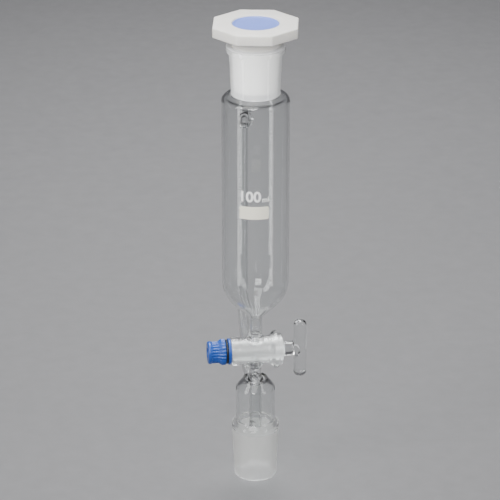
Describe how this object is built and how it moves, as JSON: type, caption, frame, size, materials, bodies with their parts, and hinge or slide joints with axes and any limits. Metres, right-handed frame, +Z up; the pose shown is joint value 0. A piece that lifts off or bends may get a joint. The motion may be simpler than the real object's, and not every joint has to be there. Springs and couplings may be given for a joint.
{
  "type": "dropping funnel",
  "caption": "Cylindrical pressure-equalising dropping funnel with glass stopcock, retaining nut, ground joints and an octagonal plastic stopper.",
  "frame": {"origin": "centre of the end face of the lower ground cone, on the funnel's axis", "axes": "+Z up along the funnel's axis, +X along the stopcock's axis towards the handle, +Y towards the side with the equalising arm, which stands 12 degrees round towards -X"},
  "size_m": [0.062, 0.0541, 0.2985],
  "materials": {
    "clear_glass": "clear borosilicate glass, with ground joints",
    "blue_plastic": "moulded royal blue plastic",
    "black_rubber": "smooth elastomer",
    "white_plastic": "moulded ivory polyethylene",
    "pale_blue_plastic": "moulded light blue polyethylene"
  },
  "bodies": {
    "glassware": {"lower_cone": "clear_glass", "drip_chamber": "clear_glass", "drip_tube": "clear_glass", "stopcock_barrel": "clear_glass", "drain_neck": "clear_glass", "bowl": "clear_glass", "top_socket": "clear_glass", "equalising_arm": "clear_glass"},
    "key": {"key_plug": "clear_glass", "key_handle": "clear_glass"},
    "retainer": {"retaining_washer": "blue_plastic", "retaining_o_ring": "black_rubber"},
    "nut": {"retaining_nut": "blue_plastic"},
    "stopper": {"stopper_body": "white_plastic", "stopper_disc": "pale_blue_plastic"}
  },
  "joints": [
    {"name": "key_turn", "type": "hinge", "parent": "glassware", "child": "key", "pos_m": [0, 0, 0.085], "axis": [1, 0, 0], "continuous": true},
    {"name": "retainer_slide", "type": "slide", "parent": "key", "child": "retainer", "axis": [-1, 0, 0], "range_m": [0, 0.01]},
    {"name": "nut_turn", "type": "hinge", "parent": "retainer", "child": "nut", "pos_m": [-0.019, 0, 0.085], "axis": [-1, 0, 0], "range_deg": [0, 1800]},
    {"name": "stopper_lift", "type": "slide", "parent": "glassware", "child": "stopper", "axis": [0, 0, 1], "range_m": [0, 0.045]}
  ],
  "couplings": [
    {"joint": "nut_turn", "follows": "retainer_slide", "rad_per_m": 3141.6}
  ]
}
